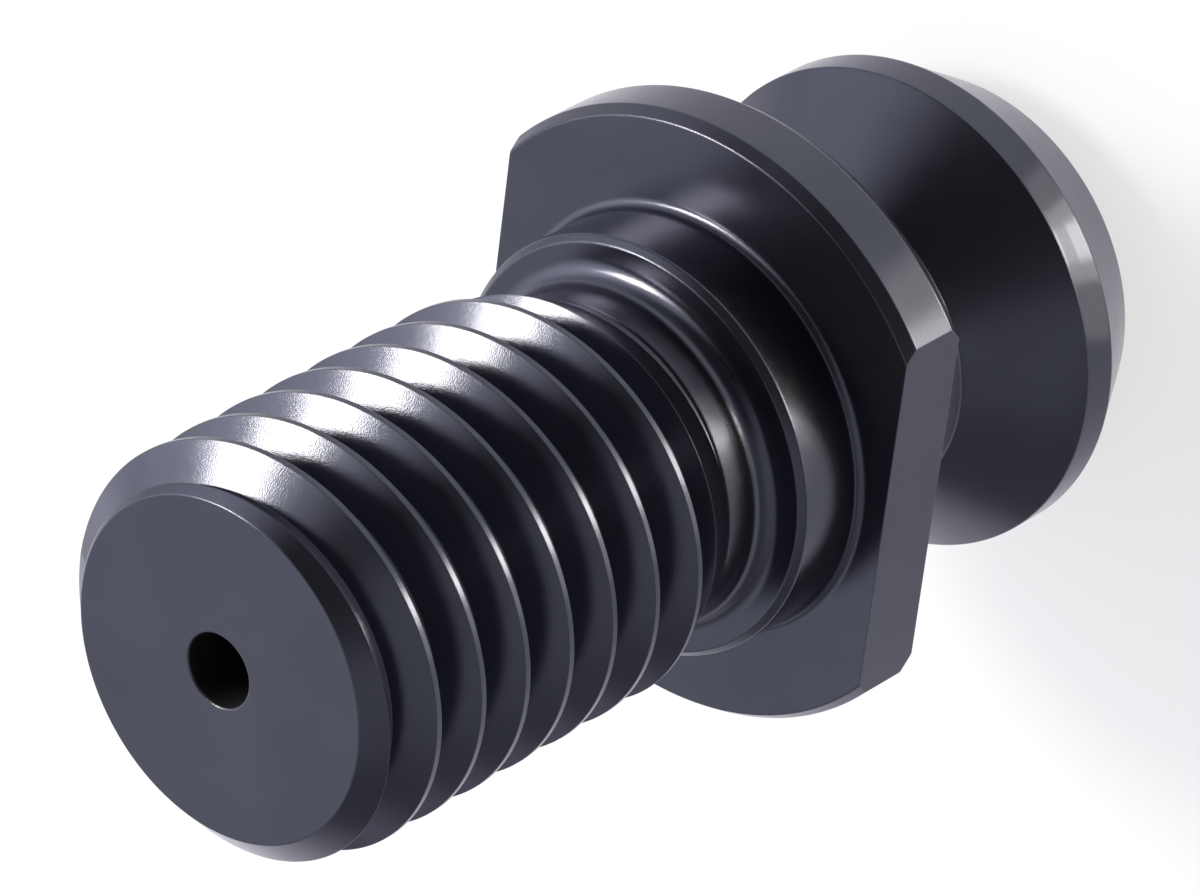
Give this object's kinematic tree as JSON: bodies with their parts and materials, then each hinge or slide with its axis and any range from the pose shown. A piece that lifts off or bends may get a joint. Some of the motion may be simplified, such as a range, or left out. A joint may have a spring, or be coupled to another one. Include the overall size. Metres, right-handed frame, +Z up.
{
  "type": "pull stud",
  "caption": "Turned steel retention knob with a threaded shank, flange with wrench flats, and a 45 degree gripping head.",
  "frame": {"origin": "centre of the gripping head's flat end", "axes": "+Z up the stud's axis, from the head's end to the thread's end; the wrench flats face +Y and -Y"},
  "size_m": [0.0238, 0.0188, 0.0412],
  "materials": {
    "steel": "satin black oxide"
  },
  "bodies": {
    "root": {"pull_stud": "steel"}
  },
  "joints": []
}
